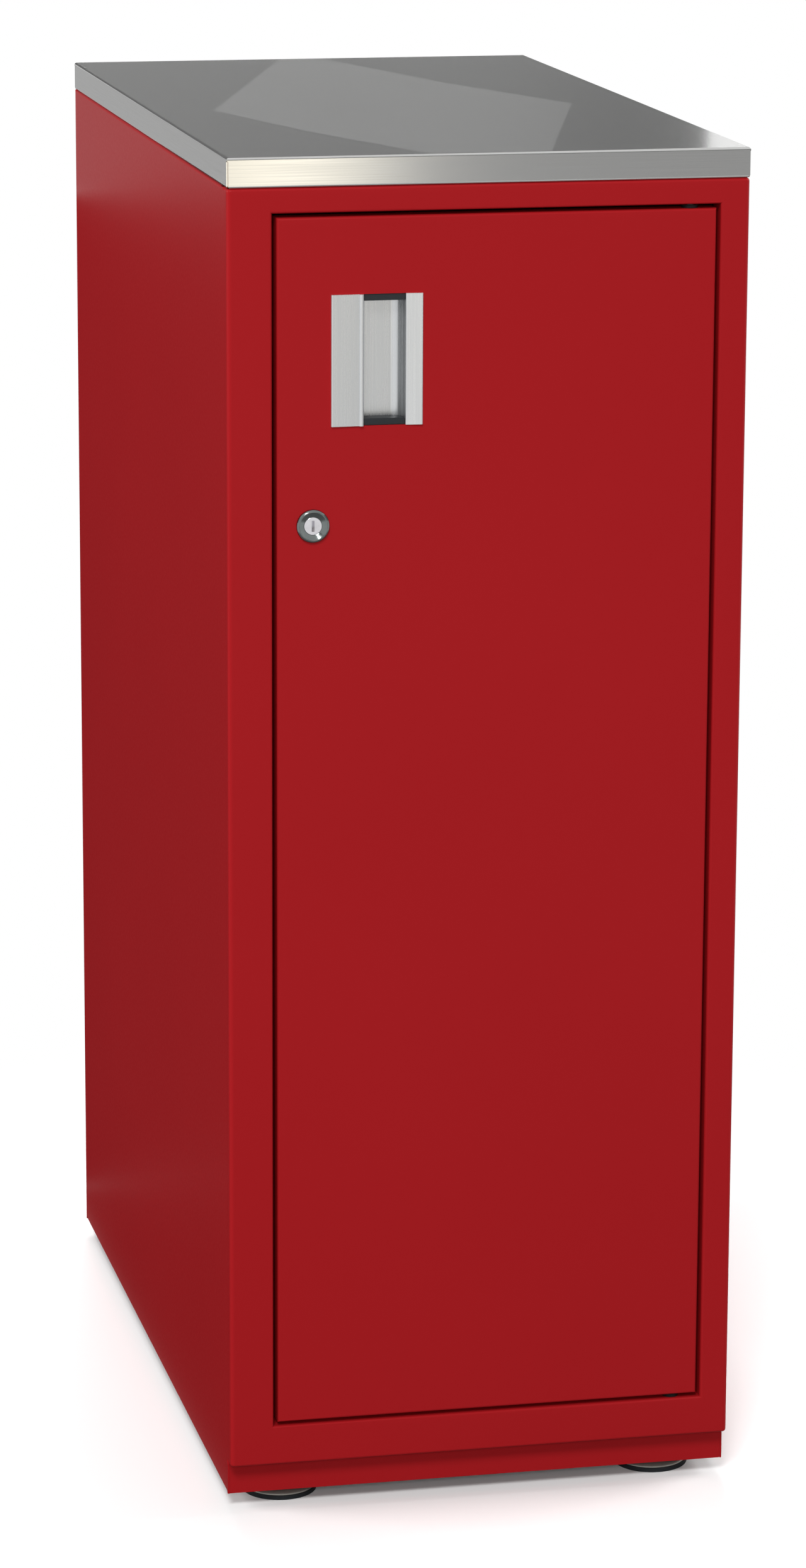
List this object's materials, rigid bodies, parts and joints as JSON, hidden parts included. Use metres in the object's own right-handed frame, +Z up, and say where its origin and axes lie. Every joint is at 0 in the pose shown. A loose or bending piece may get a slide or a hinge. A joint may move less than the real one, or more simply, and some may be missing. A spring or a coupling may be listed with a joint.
{
  "type": "lockable storage cabinet",
  "caption": "Tall narrow steel storage cabinet with a stainless worktop, a lockable pivot door with a recessed pull, adjustable shelves and levelling feet.",
  "frame": {"origin": "on the floor, under the middle of the cabinet's outer box", "axes": "+Z up, the door faces -Y, +X to the right of someone facing the door"},
  "size_m": [0.38, 0.693, 1.006],
  "materials": {
    "red_powder_coat": "fine smooth powder coat, low gloss",
    "stainless_steel": "brushed across its width",
    "anodised_aluminium": "satin, clear anodised",
    "lock_chrome": "bright",
    "nickel_plated_steel": "satin",
    "zinc_plated_steel": "bright zinc",
    "particle_board": "pressed",
    "black_plastic": "fine grain",
    "black_nylon": "satin",
    "black_rubber": "matt"
  },
  "bodies": {
    "cabinet": {"left_side_panel": "red_powder_coat", "right_side_panel": "red_powder_coat", "lock_stile_channel": "red_powder_coat", "hinge_stile_channel": "red_powder_coat", "back_panel": "red_powder_coat", "top_rail": "red_powder_coat", "bottom_rail": "red_powder_coat", "kick_plate": "red_powder_coat", "floor_panel": "red_powder_coat", "corner_gussets": "red_powder_coat", "foot_weld_nuts": "zinc_plated_steel", "back_rivets": "zinc_plated_steel", "shelf_standards": "red_powder_coat", "shelf_clips": "zinc_plated_steel", "lower_shelf": "red_powder_coat", "upper_shelf": "red_powder_coat", "worktop_skin": "stainless_steel", "worktop_core": "particle_board", "worktop_screws": "zinc_plated_steel", "top_pivot_bracket": "zinc_plated_steel", "bottom_pivot_bracket": "zinc_plated_steel", "top_pivot_pin": "zinc_plated_steel", "bottom_pivot_pin": "zinc_plated_steel", "door_stop_tabs": "red_powder_coat", "door_bumpers": "black_rubber", "latch_magnet": "black_plastic"},
    "door": {"door_skin": "red_powder_coat", "door_stiffener": "red_powder_coat", "top_pivot_bush": "black_nylon", "bottom_pivot_bush": "black_nylon", "handle_pull": "anodised_aluminium", "handle_end_caps": "black_plastic", "handle_clamps": "zinc_plated_steel", "handle_screws": "zinc_plated_steel", "lock_housing": "lock_chrome", "lock_nut": "zinc_plated_steel"},
    "lock": {"lock_plug": "lock_chrome", "lock_cam": "zinc_plated_steel", "cam_screw": "zinc_plated_steel"},
    "front_left_foot": {"front_left_foot_cup": "nickel_plated_steel", "front_left_foot_glide": "black_plastic"},
    "front_right_foot": {"front_right_foot_cup": "nickel_plated_steel", "front_right_foot_glide": "black_plastic"},
    "rear_left_foot": {"rear_left_foot_cup": "nickel_plated_steel", "rear_left_foot_glide": "black_plastic"},
    "rear_right_foot": {"rear_right_foot_cup": "nickel_plated_steel", "rear_right_foot_glide": "black_plastic"},
    "front_left_stud": {"front_left_foot_stud": "zinc_plated_steel"},
    "front_right_stud": {"front_right_foot_stud": "zinc_plated_steel"},
    "rear_left_stud": {"rear_left_foot_stud": "zinc_plated_steel"},
    "rear_right_stud": {"rear_right_foot_stud": "zinc_plated_steel"}
  },
  "joints": [
    {"name": "door_hinge", "type": "hinge", "parent": "cabinet", "child": "door", "pos_m": [0.1475, -0.335, 0.07], "axis": [0, 0, 1], "range_deg": [0, 115]},
    {"name": "lock_turn", "type": "hinge", "parent": "door", "child": "lock", "pos_m": [-0.1285, -0.3435, 0.743], "axis": [0, 1, 0], "range_deg": [0, 90]},
    {"name": "front_left_foot_height", "type": "slide", "parent": "cabinet", "child": "front_left_foot", "axis": [0, 0, -1], "range_m": [0, 0.015]},
    {"name": "front_right_foot_height", "type": "slide", "parent": "cabinet", "child": "front_right_foot", "axis": [0, 0, -1], "range_m": [0, 0.015]},
    {"name": "rear_left_foot_height", "type": "slide", "parent": "cabinet", "child": "rear_left_foot", "axis": [0, 0, -1], "range_m": [0, 0.015]},
    {"name": "rear_right_foot_height", "type": "slide", "parent": "cabinet", "child": "rear_right_foot", "axis": [0, 0, -1], "range_m": [0, 0.015]},
    {"name": "front_left_foot_screw", "type": "hinge", "parent": "front_left_foot", "child": "front_left_stud", "pos_m": [-0.144, -0.2935, 0.005], "axis": [0, 0, -1], "range_deg": [0, 3600]},
    {"name": "front_right_foot_screw", "type": "hinge", "parent": "front_right_foot", "child": "front_right_stud", "pos_m": [0.144, -0.2935, 0.005], "axis": [0, 0, -1], "range_deg": [0, 3600]},
    {"name": "rear_left_foot_screw", "type": "hinge", "parent": "rear_left_foot", "child": "rear_left_stud", "pos_m": [-0.144, 0.2965, 0.005], "axis": [0, 0, -1], "range_deg": [0, 3600]},
    {"name": "rear_right_foot_screw", "type": "hinge", "parent": "rear_right_foot", "child": "rear_right_stud", "pos_m": [0.144, 0.2965, 0.005], "axis": [0, 0, -1], "range_deg": [0, 3600]}
  ],
  "couplings": [
    {"joint": "front_left_foot_screw", "follows": "front_left_foot_height", "rad_per_m": 4188.8},
    {"joint": "front_right_foot_screw", "follows": "front_right_foot_height", "rad_per_m": 4188.8},
    {"joint": "rear_left_foot_screw", "follows": "rear_left_foot_height", "rad_per_m": 4188.8},
    {"joint": "rear_right_foot_screw", "follows": "rear_right_foot_height", "rad_per_m": 4188.8}
  ]
}
